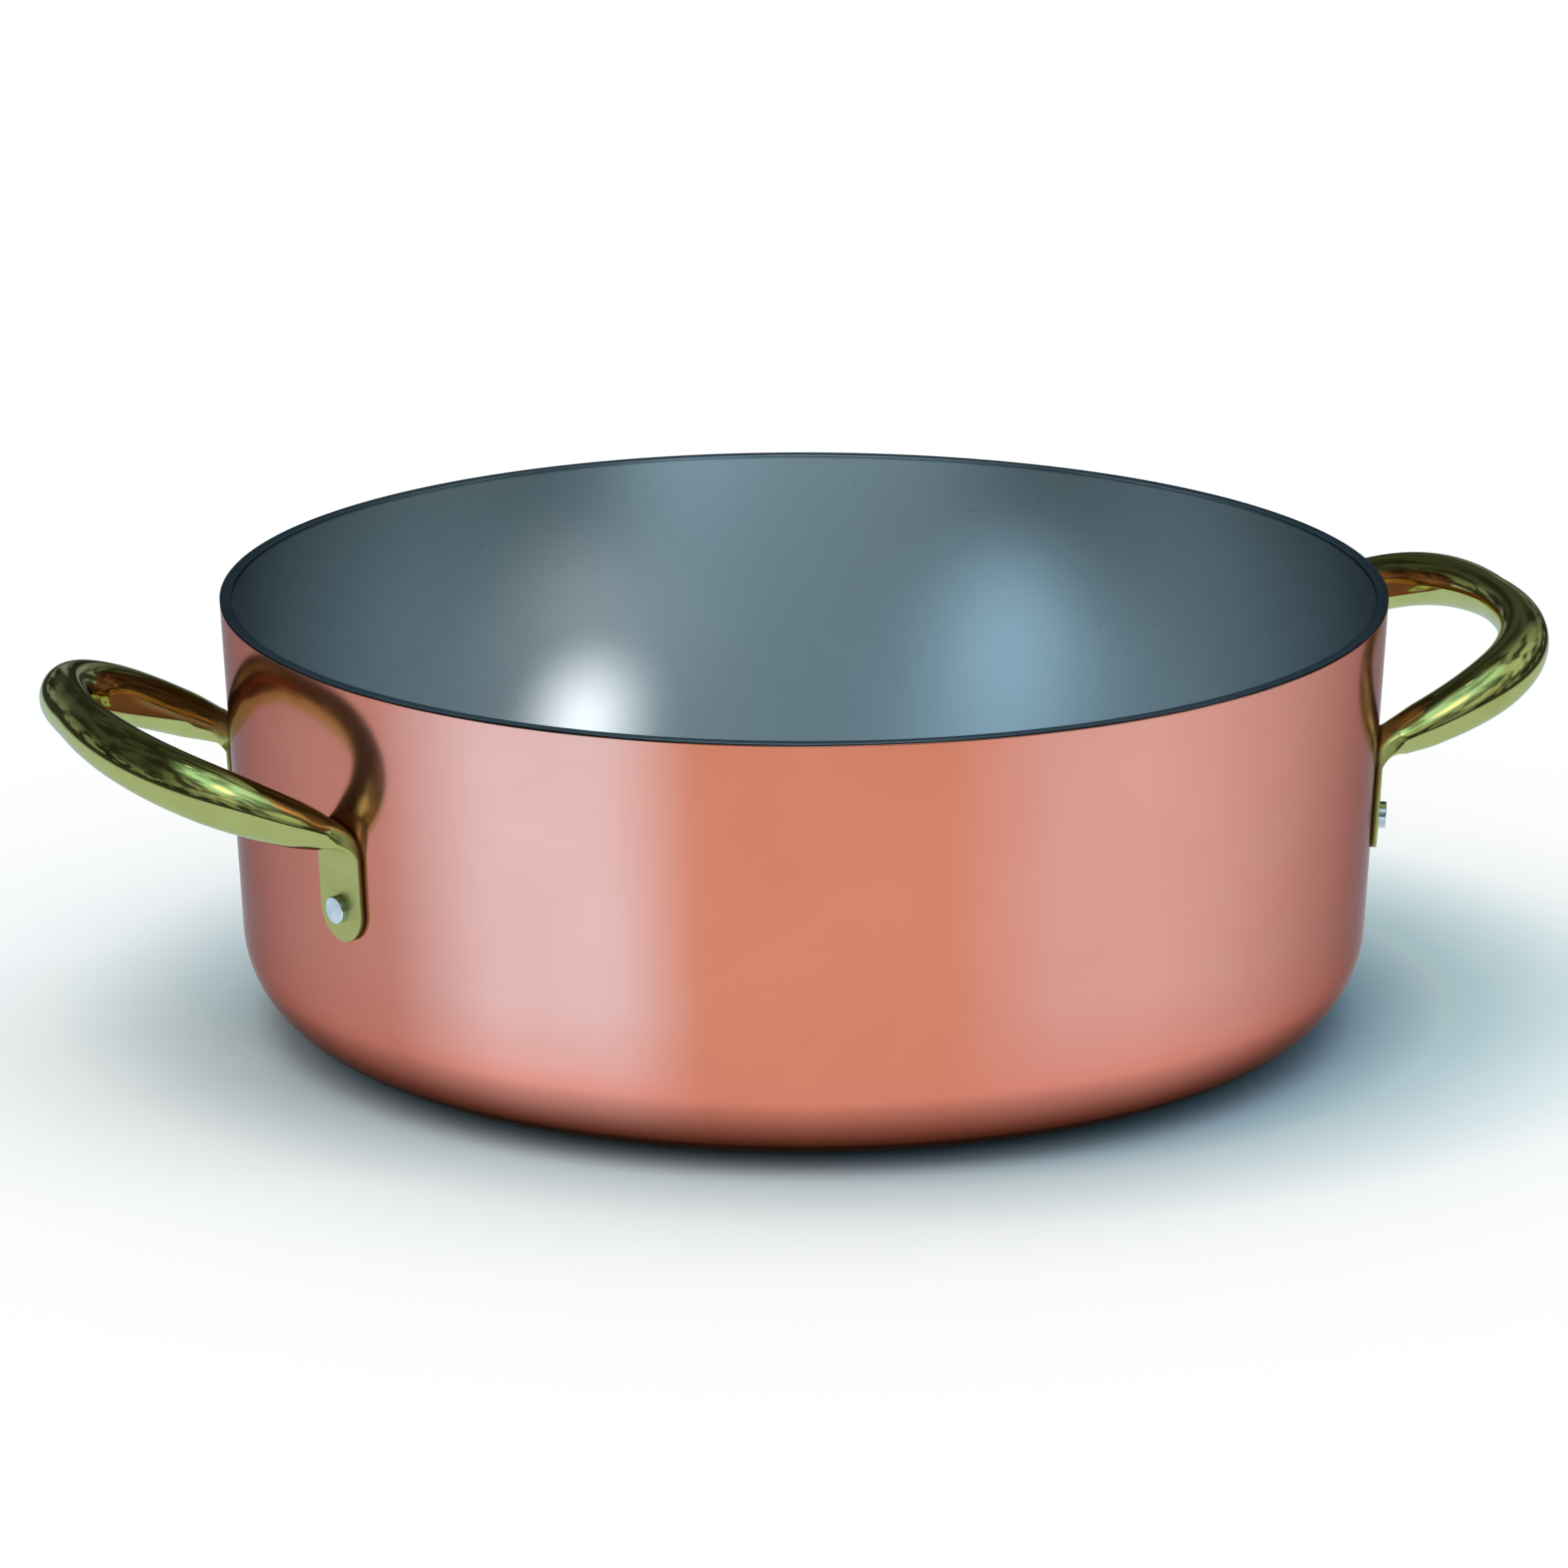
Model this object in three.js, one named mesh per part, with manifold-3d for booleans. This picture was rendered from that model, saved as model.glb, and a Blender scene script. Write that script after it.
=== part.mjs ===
// Shallow casserole pan: a drawn copper body with a tin lining that is wiped over the rim, and two cast
// brass bow handles, each held on the wall by two solid rivets. Nothing on it moves.
// Millimetres, +Z up. The origin is the middle of the base, on the surface that the pan stands on, and
// the handles lie along X.
import * as THREE from "three";
import { mergeVertices } from "three/addons/utils/BufferGeometryUtils.js";
import Module from "manifold-3d";

const wasm = await Module();
wasm.setup();

// Pan
const rimDiameter = 240;
const baseDiameter = 230.4; // where the straight wall, carried on down, would meet the base plane
const panHeight = 89.5;
const cornerRadius = 21; // outside, between the wall and the base
const copperThickness = 2.2;
const liningThickness = 0.3;
const liningGap = 0.03; // between the lining and the copper

// Handle: tab on the wall
const footSpacing = 84.5; // between the two rivets of a handle, across the wall
const rivetHeight = 43.1; // rivet centre above the base
const tabWidth = 13.3;
const tabBelowRivet = 6.8; // from the rivet down to the tab's round end
const tabThickness = 1.1;
const tabGap = 0.15; // between the tab's back and the wall
const armRise = 14.7; // from the rivet up the wall to the line of the arm

// Handle: bow
const bowTilt = THREE.MathUtils.degToRad(22.3); // above the horizontal
const bowReach = 46; // from the tab to the middle of the bow, along its own plane
const bowFullness = 52; // how far the bow runs square to its middle before it turns back
const armSplay = THREE.MathUtils.degToRad(3); // how far the arms lean in as they leave the wall
const armLead = 6; // straight lead of the arm after the bend
const bendLength = 3.2; // from the corner of tab and arm to either end of the bend
const rootWidth = 10.6;
const rootHeight = 6;
const shoulderWidth = 11.2;
const shoulderHeight = 9.6;
const armWidth = 11.6;
const armHeight = 12;
const crownWidth = 8.6;
const crownHeight = 10.2;
const rootAt = 0.06; // shares of the way from the bend to the crown
const shoulderAt = 0.17;
const armAt = 0.42;

// Rivet
const shankDiameter = 4;
const shankClearance = 0.1; // all round the shank in its hole
const headDiameter = 5.6; // closed end, outside on the tab
const headHeight = 1.5;
const headChamfer = 0.2;
const innerHeadDiameter = 9; // low dome inside the pan
const innerHeadHeight = 1.5;
const seatGap = 0.15; // under each head

// Facets
const panSegments = 80;
const arcSegments = 3; // for each half of a corner's quarter turn
const rivetSegments = 18;
const sectionPoints = 20;
const tabEndStations = 5;
const tabTip = 0.4; // share of a station left flat at the very tip of the tab
const bendStations = 5;
const bowStations = 14;

const copperMetal = { color: 0xce7c66, roughness: 0.22, metalness: 1 };
const tinMetal = { color: 0x6f7f86, roughness: 0.42, metalness: 1 };
const brassMetal = { color: 0xa5ad6b, roughness: 0.1, metalness: 1 };
const steelMetal = { color: 0xb9c2cc, roughness: 0.2, metalness: 1 };

// The wall

const wallLean = Math.atan2((rimDiameter - baseDiameter) / 2, panHeight);
const liningDepth = copperThickness + liningGap;
const boreDepth = liningDepth + liningThickness;
const cornerCentre = new THREE.Vector2(
  baseDiameter / 2 + cornerRadius * Math.tan(wallLean) - cornerRadius / Math.cos(wallLean),
  cornerRadius,
);

// Radius of the wall at a height, for a surface that lies a depth inside the outer face.
function wallRadius(height, depth = 0) {
  return baseDiameter / 2 + height * Math.tan(wallLean) - depth / Math.cos(wallLean);
}

// Half section of the shell at a depth inside the outer face: base, corner and wall, up to a height.
function shellLine(depth, top) {
  const line = new THREE.Path();
  line.moveTo(0, depth);
  line.lineTo(cornerCentre.x, depth);
  line.absarc(cornerCentre.x, cornerCentre.y, cornerRadius - depth, -Math.PI / 2, -wallLean, false);
  line.lineTo(wallRadius(top, depth), top);
  return line.getPoints(arcSegments);
}

// Solids

const mergeTolerance = 1e-4;

function toSolid(geometry) {
  const bare = new THREE.BufferGeometry();
  bare.setAttribute("position", geometry.getAttribute("position"));
  bare.setIndex(geometry.index);
  const merged = mergeVertices(bare, mergeTolerance);
  return new wasm.Manifold(
    new wasm.Mesh({
      numProp: 3,
      vertProperties: merged.attributes.position.array,
      triVerts: new Uint32Array(merged.index.array),
    }),
  );
}

function toGeometry(solid) {
  const mesh = solid.getMesh();
  const geometry = new THREE.BufferGeometry();
  geometry.setAttribute("position", new THREE.BufferAttribute(mesh.vertProperties, 3));
  geometry.setIndex(new THREE.BufferAttribute(mesh.triVerts, 1));
  geometry.computeVertexNormals();
  return geometry;
}

function cut(solid, cutters) {
  return cutters.reduce((left, cutter) => left.subtract(cutter), solid);
}

// A profile of radius and height, turned about Z.
function turned(profile, segments) {
  return new THREE.LatheGeometry(profile, segments).rotateX(Math.PI / 2);
}

// Rivet seats

const tabAngle = Math.asin(footSpacing / 2 / wallRadius(rivetHeight));

// The wall's directions at an angle about Z: square to it, up along it and round it.
function wallAxes(angle) {
  const radial = new THREE.Vector3(Math.cos(angle), Math.sin(angle), 0);
  const up = new THREE.Vector3(0, 0, 1);
  return {
    out: radial.clone().multiplyScalar(Math.cos(wallLean)).addScaledVector(up, -Math.sin(wallLean)),
    along: radial.clone().multiplyScalar(Math.sin(wallLean)).addScaledVector(up, Math.cos(wallLean)),
    round: new THREE.Vector3(-Math.sin(angle), Math.cos(angle), 0),
    seat: radial.clone().multiplyScalar(wallRadius(rivetHeight)).addScaledVector(up, rivetHeight),
  };
}

// Stands an object on the outer wall where a rivet goes, with its Z axis square to the wall.
function onWall(object, angle) {
  const { out, seat } = wallAxes(angle);
  object.position.copy(seat);
  object.quaternion.setFromUnitVectors(new THREE.Vector3(0, 0, 1), out);
  return object;
}

// A bar as wide as a rivet's hole, long enough to pass right through the wall and the tab.
function rivetHole(angle) {
  const radius = shankDiameter / 2 + shankClearance;
  const halfLength = 2 * (boreDepth + tabGap + tabThickness);
  const bar = new THREE.CylinderGeometry(radius, radius, 2 * halfLength, rivetSegments);
  bar.rotateX(Math.PI / 2);
  const placed = onWall(new THREE.Object3D(), angle);
  placed.updateMatrix();
  return toSolid(bar.applyMatrix4(placed.matrix));
}

const handleAngles = { right: 0, left: Math.PI };
const footAngles = { front: -tabAngle, rear: tabAngle };
const panHoles = Object.values(handleAngles).flatMap((handle) =>
  Object.values(footAngles).map((foot) => rivetHole(handle + foot)),
);

// Copper body and its lining

function copperBody() {
  const top = panHeight - liningThickness - liningGap;
  const profile = [...shellLine(0, top), ...shellLine(copperThickness, top).reverse()];
  return toGeometry(cut(toSolid(turned(profile, panSegments)), panHoles));
}

// The lining ends in a flat flange, which covers the copper's top edge out to the wall's outer face.
function tinLining() {
  const underFlange = panHeight - liningThickness;
  const flange = [
    new THREE.Vector2(wallRadius(underFlange), underFlange),
    new THREE.Vector2(wallRadius(panHeight), panHeight),
  ];
  const profile = [
    ...shellLine(liningDepth, underFlange),
    ...flange,
    ...shellLine(boreDepth, panHeight).reverse(),
  ];
  return toGeometry(cut(toSolid(turned(profile, panSegments)), panHoles));
}

// Brass handle: one loft from the tip of one tab, up the wall, out round the bow and back

// Smooth values through stops of [share of the way, value, value, ...].
function between(stops, share) {
  const i = Math.min(stops.length - 2, stops.findLastIndex((stop) => stop[0] <= share));
  const at = (k) => stops[Math.min(stops.length - 1, Math.max(0, k))];
  const span = at(i + 1)[0] - at(i)[0];
  const t = (share - at(i)[0]) / span;
  const slope = (k, n) => ((at(k + 1)[n] - at(k - 1)[n]) / (at(k + 1)[0] - at(k - 1)[0])) * span;
  return stops[i].slice(1).map((from, n) => {
    const to = at(i + 1)[n + 1];
    const a = slope(i, n + 1);
    const b = slope(i + 1, n + 1);
    return (
      from * (2 * t ** 3 - 3 * t ** 2 + 1) +
      a * (t ** 3 - 2 * t ** 2 + t) +
      to * (3 * t ** 2 - 2 * t ** 3) +
      b * (t ** 3 - t ** 2)
    );
  });
}

// Half width, half height and squareness of the handle's section from the bend to the crown. A
// squareness of 2 is an ellipse, and a high one a flat bar with soft edges.
const barSquareness = 8;
const rootSquareness = 3;
const roundSquareness = 2;
const sectionStops = [
  [0, tabWidth / 2, tabThickness / 2, barSquareness],
  [rootAt, rootWidth / 2, rootHeight / 2, rootSquareness],
  [shoulderAt, shoulderWidth / 2, shoulderHeight / 2, roundSquareness],
  [armAt, armWidth / 2, armHeight / 2, roundSquareness],
  [1, crownWidth / 2, crownHeight / 2, roundSquareness],
];

// Stations of the half handle on the +Y side, from the tip of its tab to the crown of the bow.
function halfHandle() {
  const { out, along, round, seat } = wallAxes(tabAngle);
  const middle = seat.clone().addScaledVector(out, tabGap + tabThickness / 2);
  const tabEnd = middle.clone().addScaledVector(along, -tabBelowRivet);
  const corner = middle.clone().addScaledVector(along, armRise);
  const bowOut = new THREE.Vector3(Math.cos(bowTilt), 0, Math.sin(bowTilt));
  const bowUp = new THREE.Vector3(-Math.sin(bowTilt), 0, Math.cos(bowTilt));
  const armOut = bowOut.clone().multiplyScalar(Math.cos(armSplay)).setY(-Math.sin(armSplay));
  const bendStart = corner.clone().addScaledVector(along, -bendLength);
  const bendEnd = corner.clone().addScaledVector(armOut, bendLength);
  const crown = corner.clone().setY(0).addScaledVector(bowOut, bowReach);
  const bend = new THREE.QuadraticBezierCurve3(bendStart, corner, bendEnd);
  const bow = new THREE.CubicBezierCurve3(
    bendEnd,
    bendEnd.clone().addScaledVector(armOut, armLead),
    crown.clone().setY(bowFullness),
    crown,
  );
  const bendArc = bend.getLength();
  const wholeArc = bendArc + bow.getLength();

  const stations = [];
  // The tab's round end: the half width follows a circle as wide as the tab.
  for (let i = 0; i < tabEndStations; i += 1) {
    const turn = (Math.PI / 2) * ((i + tabTip) / tabEndStations);
    stations.push({
      centre: tabEnd.clone().addScaledVector(along, (tabWidth / 2) * (1 - Math.cos(turn))),
      tangent: along,
      round,
      size: [(tabWidth / 2) * Math.sin(turn), tabThickness / 2, barSquareness],
    });
  }
  const runs = [
    { curve: bend, first: 0, count: bendStations, arcBefore: 0 },
    { curve: bow, first: 1, count: bowStations, arcBefore: bendArc },
  ];
  for (const { curve, first, count, arcBefore } of runs) {
    for (let i = first; i <= count; i += 1) {
      const share = (arcBefore + (i / count) * curve.getLength()) / wholeArc;
      const tangent = curve.getTangentAt(i / count);
      const inPlane = new THREE.Vector3().crossVectors(bowUp, tangent).normalize();
      const twist = THREE.MathUtils.smoothstep(share, 0, shoulderAt);
      stations.push({
        centre: curve.getPointAt(i / count),
        tangent,
        round: round.clone().lerp(inPlane, twist),
        size: between(sectionStops, share),
      });
    }
  }
  return stations;
}

// The same station on the other side of the handle, with the path running the other way.
function mirrored({ centre, tangent, round, size }) {
  const flip = new THREE.Vector3(1, -1, 1);
  return {
    centre: centre.clone().multiply(flip),
    tangent: tangent.clone().multiply(flip).negate(),
    round: round.clone().multiply(flip),
    size,
  };
}

// A closed skin over a row of stations, with a flat cap at each end.
function loft(stations) {
  const points = [];
  const faces = [];
  const power = (value, exponent) => Math.sign(value) * Math.abs(value) ** exponent;
  for (const { centre, tangent, round, size } of stations) {
    const [halfWidth, halfHeight, squareness] = size;
    const across = round.clone().addScaledVector(tangent, -round.dot(tangent)).normalize();
    const through = new THREE.Vector3().crossVectors(tangent, across);
    for (let k = 0; k < sectionPoints; k += 1) {
      const turn = (2 * Math.PI * k) / sectionPoints;
      const point = centre
        .clone()
        .addScaledVector(across, halfWidth * power(Math.cos(turn), 2 / squareness))
        .addScaledVector(through, halfHeight * power(Math.sin(turn), 2 / squareness));
      points.push(...point.toArray());
    }
  }
  const at = (row, k) => row * sectionPoints + (k % sectionPoints);
  for (let row = 0; row + 1 < stations.length; row += 1) {
    for (let k = 0; k < sectionPoints; k += 1) {
      faces.push(at(row, k), at(row, k + 1), at(row + 1, k + 1));
      faces.push(at(row, k), at(row + 1, k + 1), at(row + 1, k));
    }
  }
  const lastRow = stations.length - 1;
  for (let k = 1; k + 1 < sectionPoints; k += 1) {
    faces.push(at(0, 0), at(0, k + 1), at(0, k));
    faces.push(at(lastRow, 0), at(lastRow, k), at(lastRow, k + 1));
  }
  const geometry = new THREE.BufferGeometry();
  geometry.setAttribute("position", new THREE.Float32BufferAttribute(points, 3));
  geometry.setIndex(faces);
  return geometry;
}

function brassHandle() {
  const half = halfHandle();
  const otherHalf = half.slice(0, -1).reverse().map(mirrored);
  const wall = toSolid(
    turned(
      [
        new THREE.Vector2(0, 0),
        new THREE.Vector2(wallRadius(0, -tabGap), 0),
        new THREE.Vector2(wallRadius(panHeight, -tabGap), panHeight),
        new THREE.Vector2(0, panHeight),
      ],
      panSegments,
    ),
  );
  const holes = Object.values(footAngles).map(rivetHole);
  return toGeometry(cut(toSolid(loft([...half, ...otherHalf])), [wall, ...holes]));
}

// Rivet: low dome inside the pan, shank, and a closed end on the tab. Its Z axis points out of the wall,
// from the wall's outer face.
function solidRivet() {
  const wallCurve = innerHeadDiameter ** 2 / 8 / wallRadius(rivetHeight, boreDepth);
  const innerSeat = -boreDepth - wallCurve - seatGap;
  const outerSeat = tabGap + tabThickness + seatGap;
  const headTop = outerSeat + headHeight;
  const half = innerHeadDiameter / 2;
  const domeRadius = (half ** 2 + innerHeadHeight ** 2) / (2 * innerHeadHeight);
  const domeHalfAngle = Math.asin(half / domeRadius);
  const line = new THREE.Path();
  line.moveTo(0, innerSeat - innerHeadHeight);
  line.absarc(
    0,
    innerSeat - innerHeadHeight + domeRadius,
    domeRadius,
    -Math.PI / 2,
    domeHalfAngle - Math.PI / 2,
    false,
  );
  line.lineTo(shankDiameter / 2, innerSeat);
  line.lineTo(shankDiameter / 2, outerSeat);
  line.lineTo(headDiameter / 2, outerSeat);
  line.lineTo(headDiameter / 2, headTop - headChamfer);
  line.lineTo(headDiameter / 2 - headChamfer, headTop);
  line.lineTo(0, headTop);
  return toGeometry(toSolid(turned(line.getPoints(arcSegments), rivetSegments)));
}

// Assembly

function piece(name, geometry, metal) {
  const mesh = new THREE.Mesh(geometry, new THREE.MeshStandardMaterial(metal));
  mesh.name = name;
  return mesh;
}

const pan = new THREE.Group();
pan.add(piece("copper_body", copperBody(), copperMetal));
pan.add(piece("tin_lining", tinLining(), tinMetal));

const handleShape = brassHandle();
const rivetShape = solidRivet();
for (const [side, angle] of Object.entries(handleAngles)) {
  const set = new THREE.Group();
  set.rotation.z = angle;
  set.add(piece(`handle_${side}`, handleShape, brassMetal));
  for (const [foot, footAngle] of Object.entries(footAngles)) {
    // Half a turn takes a left foot to the other side of the pan.
    const place = side === "left" ? -footAngle : footAngle;
    set.add(onWall(piece(`rivet_${side}_${foot}`, rivetShape, steelMetal), place));
  }
  pan.add(set);
}

export default pan;
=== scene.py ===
# %% [markdown]
# A shallow copper casserole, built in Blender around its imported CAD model.
#
# The pan is a spun copper shell with a grey tin lining, two cast brass bow handles and four steel
# rivets. Each of these has a simple recipe: a section that is turned round an axis, or a section that
# is swept along a path. The cells below draw the sections with a pen made of bmesh operators, so every
# curve comes from a radius or a length that a maker could measure on the real pan.

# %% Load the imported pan
import math

import bmesh
import bpy
from mathutils import Matrix, Vector
from mathutils.geometry import interpolate_bezier


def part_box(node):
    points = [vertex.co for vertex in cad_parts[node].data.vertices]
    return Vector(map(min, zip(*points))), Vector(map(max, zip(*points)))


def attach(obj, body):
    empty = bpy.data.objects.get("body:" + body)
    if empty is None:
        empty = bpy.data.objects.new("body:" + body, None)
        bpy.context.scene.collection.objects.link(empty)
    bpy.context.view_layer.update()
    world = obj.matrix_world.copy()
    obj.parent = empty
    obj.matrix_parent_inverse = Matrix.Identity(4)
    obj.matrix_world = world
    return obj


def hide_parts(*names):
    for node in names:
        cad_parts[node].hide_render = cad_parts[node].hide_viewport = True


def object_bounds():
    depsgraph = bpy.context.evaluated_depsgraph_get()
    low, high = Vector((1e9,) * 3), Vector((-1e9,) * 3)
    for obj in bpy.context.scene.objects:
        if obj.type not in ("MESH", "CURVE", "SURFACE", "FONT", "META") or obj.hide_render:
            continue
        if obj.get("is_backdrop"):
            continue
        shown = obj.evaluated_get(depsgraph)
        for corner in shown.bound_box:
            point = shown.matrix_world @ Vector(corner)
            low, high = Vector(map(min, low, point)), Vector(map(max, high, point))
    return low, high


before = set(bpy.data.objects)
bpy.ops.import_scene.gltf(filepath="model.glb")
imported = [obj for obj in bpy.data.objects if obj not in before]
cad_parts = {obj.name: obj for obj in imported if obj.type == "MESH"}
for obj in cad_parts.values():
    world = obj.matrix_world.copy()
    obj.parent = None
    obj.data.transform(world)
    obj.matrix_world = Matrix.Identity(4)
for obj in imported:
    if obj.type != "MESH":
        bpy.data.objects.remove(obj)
cad_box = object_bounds()
MM_IN_METRE = 1000


def in_mm(lengths):
    """Lengths in millimetres, for the lines that the cells print."""
    return [round(MM_IN_METRE * length, 3) for length in lengths]


print("CAD nodes:", ", ".join(sorted(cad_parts)))
print("CAD box in mm:", *map(in_mm, cad_box))

# %% [markdown]
# The body and the lining share one wall. It leans out by a few degrees, and a round corner joins it to
# the flat base. All lengths here are in metres, with the base on the plane z = 0 and the handles along
# X, as in the CAD model.

# %% Sizes of the pan
RIM_RADIUS = 0.1200
BASE_RADIUS = 0.1152  # where the straight wall, carried on down, meets the base plane
PAN_HEIGHT = 0.0895
CORNER_RADIUS = 0.0210
COPPER_THICKNESS = 0.0022
LINING_THICKNESS = 0.0003
LINING_GAP = 0.00003
WALL_LEAN = math.atan2(RIM_RADIUS - BASE_RADIUS, PAN_HEIGHT)
CORNER_CENTRE = BASE_RADIUS + CORNER_RADIUS * math.tan(WALL_LEAN) - CORNER_RADIUS / math.cos(WALL_LEAN)


def wall_radius(height, depth=0.0):
    """Radius of the wall at a height, for a surface that lies a depth inside the outer face."""
    return BASE_RADIUS + height * math.tan(WALL_LEAN) - depth / math.cos(WALL_LEAN)


print("the wall leans out by", round(math.degrees(WALL_LEAN), 2), "degrees")

# %% [markdown]
# A turned piece starts as half of its section, drawn in the XZ plane. The section could be typed in as
# a list of points, but then a change of radius would mean new points everywhere. Instead a single
# vertex acts as a pen: extruding it draws a straight line, and spinning it about a centre draws an arc.
# A second spin, about the Z axis, then turns the finished line into a closed skin.

# %% A pen for sections, and the lathe that turns them
TURN_STEPS = 288
MERGE = 1e-6  # vertices that are closer than this become one
CREASE = math.radians(35.0)  # edges that are sharper than this stay sharp
UP = Vector((0.0, 0.0, 1.0))


def start_pen(radius, height):
    """A new bmesh with one vertex in it, the pen."""
    bm = bmesh.new()
    return bm, bm.verts.new((radius, 0.0, height))


def line_to(bm, pen, radius, height):
    """Draws a straight line from the pen and returns the pen at its end."""
    pen = bmesh.ops.extrude_vert_indiv(bm, verts=[pen])["verts"][0]
    pen.co = (radius, 0.0, height)
    return pen


def arc_about(bm, pen, radius, height, degrees, steps):
    """Draws an arc about a centre in the section's plane. Positive degrees go from +X towards -Z."""
    made = bmesh.ops.spin(
        bm,
        geom=[pen],
        cent=(radius, 0.0, height),
        axis=(0.0, 1.0, 0.0),
        angle=math.radians(degrees),
        steps=steps,
    )
    return [item for item in made["geom_last"] if isinstance(item, bmesh.types.BMVert)][0]


def turn(bm, steps=TURN_STEPS):
    """Turns the drawn section about Z into a skin with its faces outwards."""
    bmesh.ops.spin(
        bm,
        geom=bm.verts[:] + bm.edges[:],
        cent=(0.0, 0.0, 0.0),
        axis=UP,
        angle=math.tau,
        steps=steps,
        use_merge=True,
    )
    bmesh.ops.remove_doubles(bm, verts=bm.verts[:], dist=MERGE)
    bmesh.ops.recalc_face_normals(bm, faces=bm.faces[:])


def smooth_piece(name, bm):
    """Makes an object of a bmesh, shaded smooth but for edges that are sharper than the crease."""
    for face in bm.faces:
        face.smooth = True
    for edge in bm.edges:
        edge.smooth = not edge.is_manifold or edge.calc_face_angle() < CREASE
    mesh = bpy.data.meshes.new(name)
    bm.to_mesh(mesh)
    bm.free()
    piece = bpy.data.objects.new(name, mesh)
    bpy.context.scene.collection.objects.link(piece)
    print(name, "has", len(mesh.polygons), "faces")
    return piece


# %% [markdown]
# The copper body is one sheet, drawn into a cup: base, corner, wall, over the top edge and back down
# inside. The pen follows the outside first. The edges of the sheet are eased by a small radius, because
# a perfectly sharp edge never catches the light the way a filed one does.

# %% Copper body
EDGE_EASE = 0.0003
CORNER_STEPS = 24
EASE_STEPS = 4
QUARTER_TURN = 90.0  # degrees
WALL_TURN = QUARTER_TURN - math.degrees(WALL_LEAN)


def ease_edge(bm, pen, ease):
    """Draws a quarter of a small circle, from a rising line over to a flat top."""
    return arc_about(bm, pen, pen.co.x - ease, pen.co.z, -QUARTER_TURN, EASE_STEPS)


def draw_up(bm, pen, depth, top):
    """Draws the shell's line at a depth inside the outer face, from the base's middle up to a height."""
    pen = line_to(bm, pen, CORNER_CENTRE, depth)
    pen = arc_about(bm, pen, CORNER_CENTRE, CORNER_RADIUS, -WALL_TURN, CORNER_STEPS)
    return line_to(bm, pen, wall_radius(top, depth), top)


def draw_down(bm, pen, depth):
    """Draws the shell's line at a depth the other way, from the wall down to the base's middle."""
    reach = CORNER_RADIUS - depth
    foot = CORNER_RADIUS - reach * math.sin(WALL_LEAN)
    pen = line_to(bm, pen, CORNER_CENTRE + reach * math.cos(WALL_LEAN), foot)
    pen = arc_about(bm, pen, CORNER_CENTRE, CORNER_RADIUS, WALL_TURN, CORNER_STEPS)
    return line_to(bm, pen, 0.0, depth)


copper_top = PAN_HEIGHT - LINING_THICKNESS - LINING_GAP
bm, pen = start_pen(0.0, 0.0)
pen = draw_up(bm, pen, 0.0, copper_top - EDGE_EASE)
pen = ease_edge(bm, pen, EDGE_EASE)
pen = line_to(bm, pen, wall_radius(copper_top, COPPER_THICKNESS), copper_top)
draw_down(bm, pen, COPPER_THICKNESS)
turn(bm)
copper_body = smooth_piece("pan_copper_body", bm)

# %% [markdown]
# The lining is tin, wiped on hot. It covers the inside and is carried over the flat top of the wall,
# which is why the rim looks grey from above and not orange. It is a thin shell of its own, so it gets
# two lines: one against the copper and one that the food would touch.

# %% Tin lining
LIP_EASE = 0.00012
BORE_EASE = 0.0003

lining_depth = COPPER_THICKNESS + LINING_GAP
bore_depth = lining_depth + LINING_THICKNESS
flange_under = PAN_HEIGHT - LINING_THICKNESS
bm, pen = start_pen(0.0, lining_depth)
pen = draw_up(bm, pen, lining_depth, flange_under)
pen = line_to(bm, pen, wall_radius(flange_under), flange_under)
pen = line_to(bm, pen, wall_radius(PAN_HEIGHT - LIP_EASE), PAN_HEIGHT - LIP_EASE)
pen = ease_edge(bm, pen, LIP_EASE)
pen = line_to(bm, pen, wall_radius(PAN_HEIGHT, bore_depth) + BORE_EASE, PAN_HEIGHT)
pen = arc_about(bm, pen, pen.co.x, PAN_HEIGHT - BORE_EASE, -WALL_TURN, EASE_STEPS)
draw_down(bm, pen, bore_depth)
turn(bm)
tin_lining = smooth_piece("pan_tin_lining", bm)

# %% [markdown]
# Each handle is one brass casting: a flat tab that lies on the wall at each end, a bend, and an oval
# bow between them. Only half of it is drawn, from the tip of one tab to the crown, and a mirror makes
# the other half. All of it is worked out from the wall's own directions at the rivet, so the tab lies
# on the wall at any lean.

# %% The wall where a handle sits
FOOT_SPACING = 0.0845  # between the two rivets of a handle
RIVET_HEIGHT = 0.0431
TAB_ANGLE = math.asin(FOOT_SPACING / 2 / wall_radius(RIVET_HEIGHT))


def wall_axes(angle):
    """The wall's directions at an angle about Z, and the point on its outer face where a rivet goes."""
    radial = Vector((math.cos(angle), math.sin(angle), 0.0))
    out = radial * math.cos(WALL_LEAN) - UP * math.sin(WALL_LEAN)
    along = radial * math.sin(WALL_LEAN) + UP * math.cos(WALL_LEAN)
    return out, along, UP.cross(radial), radial * wall_radius(RIVET_HEIGHT) + UP * RIVET_HEIGHT


wall_out, wall_along, wall_round, rivet_seat = wall_axes(TAB_ANGLE)
print("a rivet sits at, in mm:", in_mm(rivet_seat))

# %% [markdown]
# The path of half a handle is a straight line up the wall, a short bend, and one long curve out to the
# crown. A curve object could be drawn for it by eye. Here two Bezier curves are worked out from lengths
# instead, so that the arm leaves the bend in line and the crown is level with its mirror image.

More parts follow.
